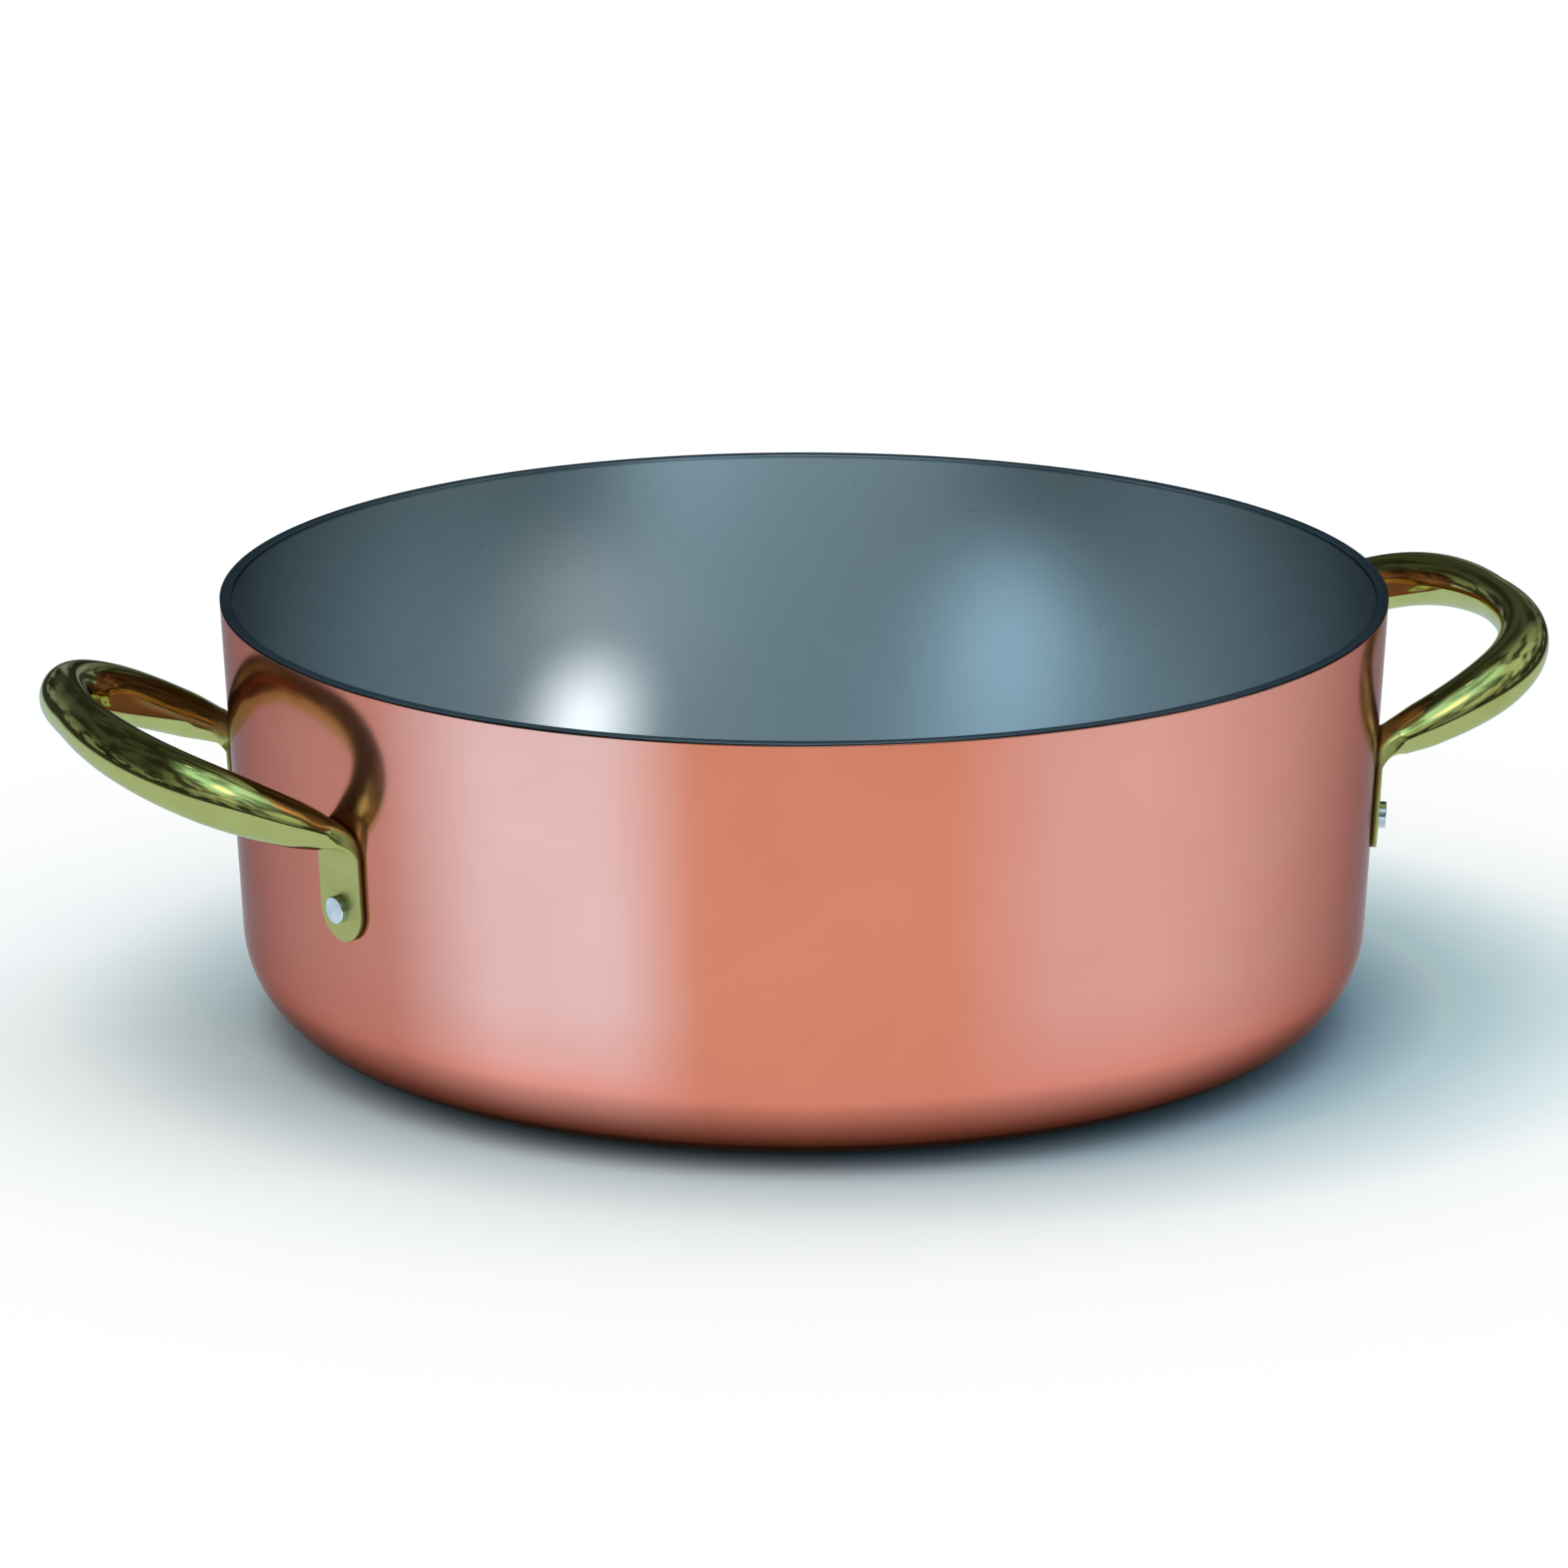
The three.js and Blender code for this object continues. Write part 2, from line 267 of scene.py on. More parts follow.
# %% Path of half a handle
TAB_BELOW_RIVET = 0.0068
TAB_THICKNESS = 0.0011
TAB_GAP = 0.00015
ARM_RISE = 0.0147  # from the rivet up to the line of the arm
ARM_SPLAY = math.radians(3.0)
ARM_LEAD = 0.0060
BOW_TILT = math.radians(22.3)
BOW_REACH = 0.0460
BOW_FULLNESS = 0.0520
BEND_LENGTH = 0.0032
BEND_PULL = 2 / 3  # share of the way to the corner at which the bend's control points lie
BEND_STEPS = 20
BOW_STEPS = 72

bow_out = Vector((math.cos(BOW_TILT), 0.0, math.sin(BOW_TILT)))
bow_up = Vector((-math.sin(BOW_TILT), 0.0, math.cos(BOW_TILT)))
arm_out = bow_out * math.cos(ARM_SPLAY)
arm_out.y = -math.sin(ARM_SPLAY)
tab_middle = rivet_seat + wall_out * (TAB_GAP + TAB_THICKNESS / 2)
tab_end = tab_middle - wall_along * TAB_BELOW_RIVET
corner = tab_middle + wall_along * ARM_RISE
bend_start = corner - wall_along * BEND_LENGTH
bend_end = corner + arm_out * BEND_LENGTH
crown = Vector((corner.x, 0.0, corner.z)) + bow_out * BOW_REACH

bend_line = interpolate_bezier(
    bend_start,
    bend_start.lerp(corner, BEND_PULL),
    bend_end.lerp(corner, BEND_PULL),
    bend_end,
    BEND_STEPS,
)
bow_line = interpolate_bezier(
    bend_end,
    bend_end + arm_out * ARM_LEAD,
    Vector((crown.x, BOW_FULLNESS, crown.z)),
    crown,
    BOW_STEPS,
)
handle_line = bend_line + bow_line[1:]
print("the crown of the bow, in mm:", in_mm(crown))

# %% [markdown]
# Along that path the section changes from a flat bar, through a rounded root, to an oval that is
# thickest half way out and slimmer at the crown. One formula covers all of these: a circle whose sides
# are raised to a power. A power of 2 is an ellipse, and a high power is a bar with soft edges. The
# stops below give half width, half height and power at shares of the way, and a smooth curve runs
# through them.

# %% Sections of the handle
TAB_WIDTH = 0.0133
BAR_POWER = 8.0
ROOT_POWER = 3.0
OVAL_POWER = 2.0
SHOULDER_AT = 0.17
SECTION_STOPS = [
    (0.00, TAB_WIDTH / 2, TAB_THICKNESS / 2, BAR_POWER),
    (0.06, 0.0053, 0.0030, ROOT_POWER),
    (SHOULDER_AT, 0.0056, 0.0048, OVAL_POWER),
    (0.42, 0.0058, 0.0060, OVAL_POWER),
    (1.00, 0.0043, 0.0051, OVAL_POWER),
]
TAB_TIP_STEPS = 14
TAB_TIP_START = 0.2  # of a step, so that the first ring has a width


def section_at(share):
    """Half width, half height and power at a share of the way from the bend to the crown."""
    last = len(SECTION_STOPS) - 1
    i = max(k for k in range(last) if SECTION_STOPS[k][0] <= share)
    low, high = SECTION_STOPS[i], SECTION_STOPS[i + 1]
    before, after = SECTION_STOPS[max(i - 1, 0)], SECTION_STOPS[min(i + 2, last)]
    span = high[0] - low[0]
    t = (share - low[0]) / span
    values = []
    for n in (1, 2, 3):
        leave = (high[n] - before[n]) / (high[0] - before[0]) * span
        arrive = (after[n] - low[n]) / (after[0] - low[0]) * span
        start = low[n] * (2 * t**3 - 3 * t**2 + 1) + leave * (t**3 - 2 * t**2 + t)
        values.append(start + high[n] * (3 * t**2 - 2 * t**3) + arrive * (t**3 - t**2))
    return values


def tab_tip_stations():
    """Stations of the tab's round end, where the half width follows a circle as wide as the tab."""
    half = TAB_WIDTH / 2
    for step in range(TAB_TIP_STEPS):
        angle = math.pi / 2 * (step + TAB_TIP_START) / TAB_TIP_STEPS
        centre = tab_end + wall_along * half * (1 - math.cos(angle))
        yield centre, wall_along, wall_round, (half * math.sin(angle), TAB_THICKNESS / 2, BAR_POWER)


def bow_stations():
    """Stations from the start of the bend to the crown: centre, direction, side and section."""
    lengths = [0.0]
    for here, there in zip(handle_line, handle_line[1:]):
        lengths.append(lengths[-1] + (there - here).length)
    last = len(handle_line) - 1
    for i, centre in enumerate(handle_line):
        share = lengths[i] / lengths[-1]
        ahead = (handle_line[min(i + 1, last)] - handle_line[max(i - 1, 0)]).normalized()
        twist = min(share / SHOULDER_AT, 1.0)
        twist = twist * twist * (3 - 2 * twist)
        side = wall_round.lerp(bow_up.cross(ahead).normalized(), twist)
        yield centre, ahead, side, section_at(share)


handle_stations = [*tab_tip_stations(), *bow_stations()]
print("half a handle has", len(handle_stations), "stations")

# %% [markdown]
# The sweep starts from one ring of vertices. Each vertex remembers its place round the ring in a layer
# of its own, and every extrusion copies that layer, so the new ring knows which vertex is which and can
# be shaped for the next station. A curve with a bevel object sweeps as well, but keeps one shape of
# section all the way.

# %% Sweep of half a handle
SECTION_POINTS = 48


def shape_ring(ring, place, station):
    """Moves a ring of vertices on to the section of a station."""
    centre, ahead, side, (half_width, half_height, power) = station
    across = (side - ahead * side.dot(ahead)).normalized()
    through = ahead.cross(across)
    for vert in ring:
        c, s = math.cos(vert[place]), math.sin(vert[place])
        wide = math.copysign(abs(c) ** (2 / power), c) * half_width
        tall = math.copysign(abs(s) ** (2 / power), s) * half_height
        vert.co = centre + across * wide + through * tall


def half_handle():
    """Sweeps the section from the tip of the tab to the crown, and closes the tip."""
    bm = bmesh.new()
    place = bm.verts.layers.float.new("place_round_section")
    ring = bmesh.ops.create_circle(bm, segments=SECTION_POINTS, radius=1.0)["verts"]
    for vert in ring:
        vert[place] = math.atan2(vert.co.y, vert.co.x)
    shape_ring(ring, place, handle_stations[0])
    tip = rim = bm.edges[:]
    for station in handle_stations[1:]:
        made = bmesh.ops.extrude_edge_only(bm, edges=rim)["geom"]
        ring = {item for item in made if isinstance(item, bmesh.types.BMVert)}
        rim = [e for e in made if isinstance(e, bmesh.types.BMEdge) and set(e.verts) <= ring]
        shape_ring(ring, place, station)
    for vert in ring:
        vert.co.y = 0.0
    bmesh.ops.holes_fill(bm, edges=tip, sides=0)
    return bm


# %% [markdown]
# A casting rarely fits at once. A smith files its back until it beds on the pan, and the cell below does
# the same: vertices close to the wall move on to the wall's own cone. Then a mirror adds the other half,
# and the same handle, turned half way round the pan, serves the other side.

# %% Brass handles
SEAT_REACH = 0.0009
SEAT_GAP = 0.00003


def seat_on_wall(bm):
    """Moves the vertices close to the wall on to it, so that the casting's back has the wall's curve."""
    for vert in bm.verts:
        radius = math.hypot(vert.co.x, vert.co.y)
        wall = wall_radius(vert.co.z)
        stand = max(radius - wall, 0.0)
        if stand < SEAT_REACH:
            seat = wall + max(stand**3 / SEAT_REACH**2, SEAT_GAP)
            vert.co.x *= seat / radius
            vert.co.y *= seat / radius


def brass_handle(name, turned):
    """One whole handle, turned about the pan's axis to its side."""
    bm = half_handle()
    seat_on_wall(bm)
    bmesh.ops.mirror(bm, geom=bm.verts[:] + bm.edges[:] + bm.faces[:], axis="Y", merge_dist=MERGE)
    bmesh.ops.remove_doubles(bm, verts=bm.verts[:], dist=MERGE)
    bmesh.ops.recalc_face_normals(bm, faces=bm.faces[:])
    bmesh.ops.rotate(bm, verts=bm.verts[:], cent=(0.0, 0.0, 0.0), matrix=Matrix.Rotation(turned, 3, "Z"))
    return smooth_piece(name, bm)


handle_right = brass_handle("pan_handle_right", 0.0)
handle_left = brass_handle("pan_handle_left", math.pi)

# %% [markdown]
# A rivet goes through the tab, the wall and the lining. It has a low dome inside the pan and a short
# plain stud outside. It is turned like the body, and then stood on the wall by a matrix whose columns
# are the wall's own directions, four times.

# %% Steel rivets
SHANK_RADIUS = 0.0020
STUD_RADIUS = 0.0028
STUD_HEIGHT = 0.0015
STUD_EASE = 0.0002
DOME_RADIUS = 0.0030  # of its rim, inside the pan
DOME_HEIGHT = 0.0012
RIVET_STEPS = 64
DOME_STEPS = 10

dome_ball = (DOME_RADIUS**2 + DOME_HEIGHT**2) / (2 * DOME_HEIGHT)
dome_degrees = math.degrees(math.asin(DOME_RADIUS / dome_ball))
wall_curve = DOME_RADIUS**2 / (2 * wall_radius(RIVET_HEIGHT, bore_depth))  # across the dome's rim
dome_seat = -bore_depth - wall_curve - SEAT_GAP
stud_seat = TAB_GAP + TAB_THICKNESS + SEAT_GAP
stud_top = stud_seat + STUD_HEIGHT


def steel_rivet(name, angle):
    """One rivet, stood on the wall at an angle about the pan's axis."""
    bm, pen = start_pen(0.0, dome_seat - DOME_HEIGHT)
    pen = arc_about(bm, pen, 0.0, dome_seat - DOME_HEIGHT + dome_ball, -dome_degrees, DOME_STEPS)
    pen = line_to(bm, pen, SHANK_RADIUS, dome_seat)
    pen = line_to(bm, pen, SHANK_RADIUS, stud_seat)
    pen = line_to(bm, pen, STUD_RADIUS, stud_seat)
    pen = line_to(bm, pen, STUD_RADIUS, stud_top - STUD_EASE)
    pen = ease_edge(bm, pen, STUD_EASE)
    line_to(bm, pen, 0.0, stud_top)
    turn(bm, RIVET_STEPS)
    out, along, round_wall, seat = wall_axes(angle)
    stand = Matrix((round_wall, along, out)).transposed().to_4x4()
    bmesh.ops.transform(bm, verts=bm.verts[:], matrix=Matrix.Translation(seat) @ stand)
    bmesh.ops.recalc_face_normals(bm, faces=bm.faces[:])
    return smooth_piece(name, bm)


rivet_angles = {
    "rivet_right_front": -TAB_ANGLE,
    "rivet_right_rear": TAB_ANGLE,
    "rivet_left_front": math.pi + TAB_ANGLE,
    "rivet_left_rear": math.pi - TAB_ANGLE,
}
rivets = {node: steel_rivet("pan_" + node, angle) for node, angle in rivet_angles.items()}

# %% [markdown]
# Every new piece stands for one CAD node, rides on the pan's only body and takes one of the record's
# finishes. A small table keeps these three facts together.

# %% Tie the pieces to the CAD model
LOW_CORNER, HIGH_CORNER = 0, 6  # among the eight corners of a bound_box
finishes = [
    (copper_body, "copper_body", "copper"),
    (tin_lining, "tin_lining", "tin"),
    (handle_right, "handle_right", "brass"),
    (handle_left, "handle_left", "brass"),
    *((piece, node, "rivet_steel") for node, piece in rivets.items()),
]
for piece, node, finish in finishes:
    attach(piece, "root")
    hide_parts(node)
    corners = (piece.bound_box[LOW_CORNER], piece.bound_box[HIGH_CORNER])
    off = max(abs(a - b) for cad, own in zip(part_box(node), corners) for a, b in zip(cad, own))
    print(piece.name, "differs from its node's box by up to", *in_mm([off]), "mm")

# %% [markdown]
# Shader nodes can be laid out by hand in the editor, but the finishes here share most of their steps.
# So each step that comes again, such as a sum, a change of range or a mix of two colours, is a short
# function that adds its node, links it up and gives back the socket to go on from.

# %% Helpers for nodes
def add_node(tree, kind, **settings):
    """Adds a node and sets its own properties."""
    made = tree.nodes.new(kind)
    for name, value in settings.items():
        setattr(made, name, value)
    return made


def is_socket(value):
    """Whether a value comes from another node."""
    return isinstance(value, bpy.types.NodeSocket)


def feed(socket, value):
    """Links an input to another node's socket, or sets a plain value on it."""
    if is_socket(value):
        socket.id_data.links.new(value, socket)
    else:
        socket.default_value = value


def set_inputs(made, **values):
    """Feeds inputs by name, with underscores for spaces."""
    for name, value in values.items():
        feed(made.inputs[name.replace("_", " ")], value)
    return made


def math_node(tree, operation, first, second):
    """A Math node on two values, each a socket or a number."""
    made = add_node(tree, "ShaderNodeMath", operation=operation)
    for socket, value in zip(made.inputs, (first, second)):
        feed(socket, value)
    return made.outputs["Value"]


def ranged(tree, value, low, high, new_low=0.0, new_high=1.0):
    """Maps a value from one range to another, held at both ends."""
    made = tree.nodes.new("ShaderNodeMapRange")
    set_inputs(made, Value=value, From_Min=low, From_Max=high, To_Min=new_low, To_Max=new_high)
    return made.outputs["Result"]


def two_tones(tree, mask, first, second):
    """Mixes two colours by a mask. Either may be a colour or a socket."""
    made = add_node(tree, "ShaderNodeMix", data_type="RGBA")
    first, second = (tone if is_socket(tone) else (*tone, 1.0) for tone in (first, second))
    return set_inputs(made, Factor=mask, A=first, B=second).outputs["Result"]


# %% [markdown]
# A pattern needs to know where on the piece it is. Object coordinates give the place in metres from the
# pan's own origin, so the patterns keep their real size and stay put when the pan is moved. Two lengths
# are made from them: the height above the base and the distance from the pan's axis.

# %% Places on a piece
def object_place(tree):
    """The place of a point on a piece, in metres, as its Object coordinates."""
    return tree.nodes.new("ShaderNodeTexCoord").outputs["Object"]


def part_along(tree, direction):
    """How far a point lies along a direction."""
    made = add_node(tree, "ShaderNodeVectorMath", operation="DOT_PRODUCT")
    feed(made.inputs[0], object_place(tree))
    feed(made.inputs[1], direction)
    return made.outputs["Value"]


def height_above_base(tree):
    """The height of a point."""
    return part_along(tree, UP)


def length_of(tree, vector):
    """The length of a vector."""
    made = add_node(tree, "ShaderNodeVectorMath", operation="LENGTH")
    feed(made.inputs[0], vector)
    return made.outputs["Value"]


def off_axis(tree):
    """The distance of a point from the pan's axis."""
    flat = add_node(tree, "ShaderNodeVectorMath", operation="MULTIPLY")
    feed(flat.inputs[0], object_place(tree))
    feed(flat.inputs[1], (1.0, 1.0, 0.0))
    return length_of(tree, flat.outputs["Vector"])


# %% [markdown]
# Metals show their making in their sheen. Three small effects do most of the work here: rings left by
# polishing on a lathe, a fine grain, and soft clouds of tarnish and handling. Each is a node group that
# gives out one value, so that every metal can mix it in at its own strength.

# %% Rings, grain and clouds
def new_group(name):
    """An empty group that takes a number of waves to the metre and gives out one value."""
    group = bpy.data.node_groups.new(name, "ShaderNodeTree")
    group.interface.new_socket("Per metre", in_out="INPUT", socket_type="NodeSocketFloat")
    group.interface.new_socket("Value", in_out="OUTPUT", socket_type="NodeSocketFloat")
    return group, group.nodes.new("NodeGroupInput"), group.nodes.new("NodeGroupOutput")


def noise_group(name, **settings):
    """A group with a noise in Object coordinates."""
    group, group_in, group_out = new_group(name)
    noise = set_inputs(group.nodes.new("ShaderNodeTexNoise"), **settings)
    set_inputs(noise, Vector=object_place(group), Scale=group_in.outputs["Per metre"])
    set_inputs(group_out, Value=noise.outputs["Fac"])
    return group


grain = noise_group("fine_grain", Detail=2.0, Roughness=0.55)
clouds = noise_group("tarnish_clouds", Detail=5.0, Roughness=0.5, Distortion=0.6)

rings, rings_in, rings_out = new_group("lathe_rings")
section_place = rings.nodes.new("ShaderNodeCombineXYZ")
for axis, length in (("X", off_axis(rings)), ("Z", height_above_base(rings))):
    wave_place = math_node(rings, "MULTIPLY", length, rings_in.outputs["Per metre"])
    feed(section_place.inputs[axis], wave_place)
ring_noise = set_inputs(rings.nodes.new("ShaderNodeTexNoise"), Scale=1.0, Detail=3.0, Roughness=0.6)
set_inputs(ring_noise, Vector=section_place.outputs["Vector"])
set_inputs(rings_out, Value=ring_noise.outputs["Fac"])
print("groups:", ", ".join(group.name for group in bpy.data.node_groups))

# %% [markdown]
# A metal in Blender is a Principled shader with Metallic at 1. What makes it copper, tin or brass is
# its Base Color, and what makes it satin or mirror bright is its Roughness. The helpers below lay out
# what the four finishes share: a shader, a roughness that wanders with the clouds and a fine pattern,
# and a faint bump.

# %% What the metals share
PATCHES = (0.37, 0.73)  # where a noise shows as patches
MIDDLE = (0.30, 0.70)  # where most of a noise's values lie


def new_metal(name):
    """A material with a bare metallic Principled shader, and that shader."""
    material = bpy.data.materials.new(name)
    material.use_nodes = True
    shader = material.node_tree.nodes["Principled BSDF"]
    set_inputs(shader, Metallic=1.0)
    return material, material.node_tree, shader


def group_node(tree, group, per_metre):
    """Places a shared effect in a material with its own scale."""
    made = set_inputs(add_node(tree, "ShaderNodeGroup", node_tree=group), Per_metre=per_metre)
    return made.outputs["Value"]


def worn_tone(tree, cloud, clean, worn):
    """A colour that turns into a worn one in patches of the clouds."""
    return two_tones(tree, ranged(tree, cloud, *PATCHES), clean, worn)


def worn_rough(tree, cloud, smooth, dull, pattern, extra):
    """A roughness that goes from smooth to dull with the clouds, with a fine pattern on top."""
    base = ranged(tree, cloud, *MIDDLE, smooth, dull)
    return math_node(tree, "ADD", base, ranged(tree, pattern, *MIDDLE, 0.0, extra))


def bump_from(tree, shader, height, strength, distance):
    """Feeds a height into the shader's normal through a Bump node."""
    made = tree.nodes.new("ShaderNodeBump")
    set_inputs(made, Strength=strength, Distance=distance, Height=height)
    set_inputs(shader, Normal=made.outputs["Normal"])


def tell_nodes(block):
    """Prints how many nodes a material or a world has."""
    print(block.name, "has", len(block.node_tree.nodes), "nodes")


# %% [markdown]
# Copper: satin polished on a lathe, so the rings run round the wall and only just break the reflection.
# Towards the base its colour is painted darker and browner, as painted shade where the round foot mirrors
# the shadow under the pan. A picture wrapped round the wall could show that as well, but it would bring
# the reflections of its own room along.

# %% Copper finish
COPPER_TONE = (0.92, 0.36, 0.27)
COPPER_WORN = (0.89, 0.33, 0.245)
# painted shade: a darker, browner copper low on the wall, for the shadow that the foot mirrors
COPPER_FOOT_SHADE = (0.72, 0.17, 0.08)
COPPER_GLANCE = (0.50, 0.44, 0.44, 1.0)  # tint at a glancing look
COPPER_CLOUDS = 28.0  # waves to the metre
COPPER_RINGS = 2200.0
COPPER_ROUGH = (0.11, 0.13)  # where it is smooth, and where dull
COPPER_RING_ROUGH = 0.03
COPPER_BUMP = (0.04, 0.00005)  # strength, and depth in metres
FOOT_SHADE_BAND = (0.001, 0.011)  # height above the base
FOOT_SHADE_SHARE = 0.9

copper, tree, shader = new_metal("copper_satin")
cloud = group_node(tree, clouds, COPPER_CLOUDS)
ring = group_node(tree, rings, COPPER_RINGS)
tone = worn_tone(tree, cloud, COPPER_TONE, COPPER_WORN)
# painted shade: the copper turns darker and browner towards the base
foot_shade = ranged(tree, height_above_base(tree), *FOOT_SHADE_BAND, FOOT_SHADE_SHARE, 0.0)
tone = two_tones(tree, foot_shade, tone, COPPER_FOOT_SHADE)
rough = worn_rough(tree, cloud, *COPPER_ROUGH, ring, COPPER_RING_ROUGH)
set_inputs(shader, Base_Color=tone, Roughness=rough, Specular_Tint=COPPER_GLANCE)
bump_from(tree, shader, ring, *COPPER_BUMP)
tell_nodes(copper)

# %% [markdown]
# Tin: wiped on with a cloth while it is molten, so it is grey, satin and a little grainy, with dark
# pinpricks. The rim, where lids rest and spoons are knocked, is smoother, and its colour is painted darker
# there, as painted shade on its flat top. It is the same piece of metal, so one material serves both, with
# a mask by height.

# %% Tin finish
TIN_TONE = (0.60, 0.63, 0.65)
TIN_DULL = (0.54, 0.57, 0.59)
TIN_PRICK = (0.24, 0.26, 0.27)
# painted shade: the darker tone of the rim's flat top
TIN_RIM_SHADE = (0.22, 0.245, 0.27)
TIN_GLANCE = (0.05, 0.07, 0.09, 1.0)  # tint at a glancing look
TIN_CLOUDS = 22.0
TIN_GRAINS = 1500.0
TIN_PRICKS = 620.0
PRICK_RANGE = (0.70, 0.78)
PRICK_SHARE = 0.3
TIN_ROUGH = (0.36, 0.41)
TIN_GRAIN_ROUGH = 0.04
TIN_RIM_SMOOTH = 0.06
TIN_BUMP = (0.03, 0.00008)
TIN_WIPED = 0.25  # how far the cloth's strokes stretch a glint
TIN_WIPED_TURN = 0.25  # of a full turn
RIM_BAND = (PAN_HEIGHT - 0.0009, PAN_HEIGHT - 0.0003)

tin, tree, shader = new_metal("tin_wiped")
cloud = group_node(tree, clouds, TIN_CLOUDS)
grains = group_node(tree, grain, TIN_GRAINS)
pricks = ranged(tree, group_node(tree, grain, TIN_PRICKS), *PRICK_RANGE, 0.0, PRICK_SHARE)
tone = worn_tone(tree, cloud, TIN_TONE, TIN_DULL)
tone = two_tones(tree, pricks, tone, TIN_PRICK)
on_rim = ranged(tree, height_above_base(tree), *RIM_BAND)
# painted shade: the top of the rim is painted darker than the rest of the lining
tone = two_tones(tree, on_rim, tone, TIN_RIM_SHADE)
rough = worn_rough(tree, cloud, *TIN_ROUGH, grains, TIN_GRAIN_ROUGH)
rough = math_node(tree, "SUBTRACT", rough, math_node(tree, "MULTIPLY", on_rim, TIN_RIM_SMOOTH))
set_inputs(shader, Base_Color=tone, Roughness=rough, Specular_Tint=TIN_GLANCE)
set_inputs(shader, Anisotropic=TIN_WIPED, Anisotropic_Rotation=TIN_WIPED_TURN)
bump_from(tree, shader, grains, *TIN_BUMP)
tell_nodes(tin)

# %% [markdown]
# Brass: cast, filed and buffed until it mirrors the room. Under the shine lie faint waves from the filing,
# and hands leave it a little duller in places. The tabs, next to the wall, are only filed, and the crevice
# behind them is painted dark brown, as painted shade where the casting meets the wall.

# %% Brass finish
BRASS_TONE = (0.86, 0.80, 0.30)
BRASS_WORN = (0.76, 0.69, 0.23)
# painted shade: dark brown in the crevice between tab and wall
BRASS_CREVICE_SHADE = (0.30, 0.20, 0.07)
BRASS_CLOUDS = 70.0
BRASS_GRAINS = 900.0
BRASS_WAVES = 160.0
BRASS_ROUGH = (0.05, 0.09)
BRASS_GRAIN_ROUGH = 0.03
BRASS_BUMP = (0.10, 0.00012)
FILED_ROUGH = 0.34
FILED_FADE = (0.0020, 0.0050)  # from the wall
CREVICE_SHADE_FADE = (0.0004, 0.0011)

brass, tree, shader = new_metal("brass_polished")
cloud = group_node(tree, clouds, BRASS_CLOUDS)
grains = group_node(tree, grain, BRASS_GRAINS)
lean_out = math_node(tree, "MULTIPLY", height_above_base(tree), math.tan(WALL_LEAN))
wall_line = math_node(tree, "ADD", lean_out, BASE_RADIUS)
off_wall = math_node(tree, "SUBTRACT", off_axis(tree), wall_line)
tone = worn_tone(tree, cloud, BRASS_TONE, BRASS_WORN)
# painted shade: the brass turns dark brown close to the wall
tone = two_tones(tree, ranged(tree, off_wall, *CREVICE_SHADE_FADE), BRASS_CREVICE_SHADE, tone)
rough = worn_rough(tree, cloud, *BRASS_ROUGH, grains, BRASS_GRAIN_ROUGH)
rough = math_node(tree, "ADD", rough, ranged(tree, off_wall, *FILED_FADE, FILED_ROUGH, 0.0))
set_inputs(shader, Base_Color=tone, Roughness=rough)
bump_from(tree, shader, group_node(tree, clouds, BRASS_WAVES), *BRASS_BUMP)
tell_nodes(brass)

# %% [markdown]
# Steel: a plain bright rivet. Its grain is finer than the tin's and its tone cooler, and it is polished
# enough to catch a small glint.

# %% Steel finish
STEEL_TONE = (0.55, 0.60, 0.66)
STEEL_WORN = (0.40, 0.44, 0.49)
STEEL_CLOUDS = 400.0
STEEL_GRAINS = 5000.0
STEEL_ROUGH = (0.09, 0.15)
STEEL_GRAIN_ROUGH = 0.04
STEEL_BUMP = (0.08, 0.00004)

steel, tree, shader = new_metal("steel_bright")
cloud = group_node(tree, clouds, STEEL_CLOUDS)
grains = group_node(tree, grain, STEEL_GRAINS)
tone = worn_tone(tree, cloud, STEEL_TONE, STEEL_WORN)
rough = worn_rough(tree, cloud, *STEEL_ROUGH, grains, STEEL_GRAIN_ROUGH)
set_inputs(shader, Base_Color=tone, Roughness=rough)
bump_from(tree, shader, grains, *STEEL_BUMP)
tell_nodes(steel)

# %% [markdown]
# The table of finishes says which metal each piece is. One loop over it dresses the pan, so a change of
# finish is a change of one word in the table.

# %% Dress the pieces
metals = {"copper": copper, "tin": tin, "brass": brass, "rivet_steel": steel}
for piece, _, finish in finishes:
    piece.data.materials.append(metals[finish])
    print(piece.name, "is", metals[finish].name)

# %% [markdown]
# The camera stands in front and a little to the left of the pan, far off with a long lens, and looks
# down by about sixteen degrees. It comes before the stage, because what the metals reflect is set out
# from the line between camera and pan.

# %% Camera
CAMERA_PLACE = Vector((-0.5200, -1.5958, 0.5212))
CAMERA_AIM = Vector((-0.0039, 0.0013, 0.0477))
CAMERA_LENS = 193.4

camera_data = bpy.data.cameras.new("camera")
camera_data.lens = CAMERA_LENS
camera = bpy.data.objects.new("camera", camera_data)
camera.location = CAMERA_PLACE
camera.rotation_euler = (CAMERA_AIM - CAMERA_PLACE).to_track_quat("-Z", "Y").to_euler()
bpy.context.scene.collection.objects.link(camera)
bpy.context.scene.camera = camera

towards = Vector((CAMERA_PLACE.x, CAMERA_PLACE.y, 0.0)).normalized()
rightwards = Vector((-towards.y, towards.x, 0.0))


def as_seen(right, beyond, up):
    """A place or a way as the camera sees it: to the right of the pan, beyond it and up."""
    return rightwards * right - towards * beyond + UP * up


print("the camera stands", round((CAMERA_AIM - CAMERA_PLACE).length, 2), "m away")

# %% [markdown]
# The pan stands in a plain white room. Its even light leaves a soft shadow where the pan keeps it from
# the floor. The camera and reflections see it as pure white, but the light that it sheds is dimmer, so
# that the white doesn't burn out the pan.

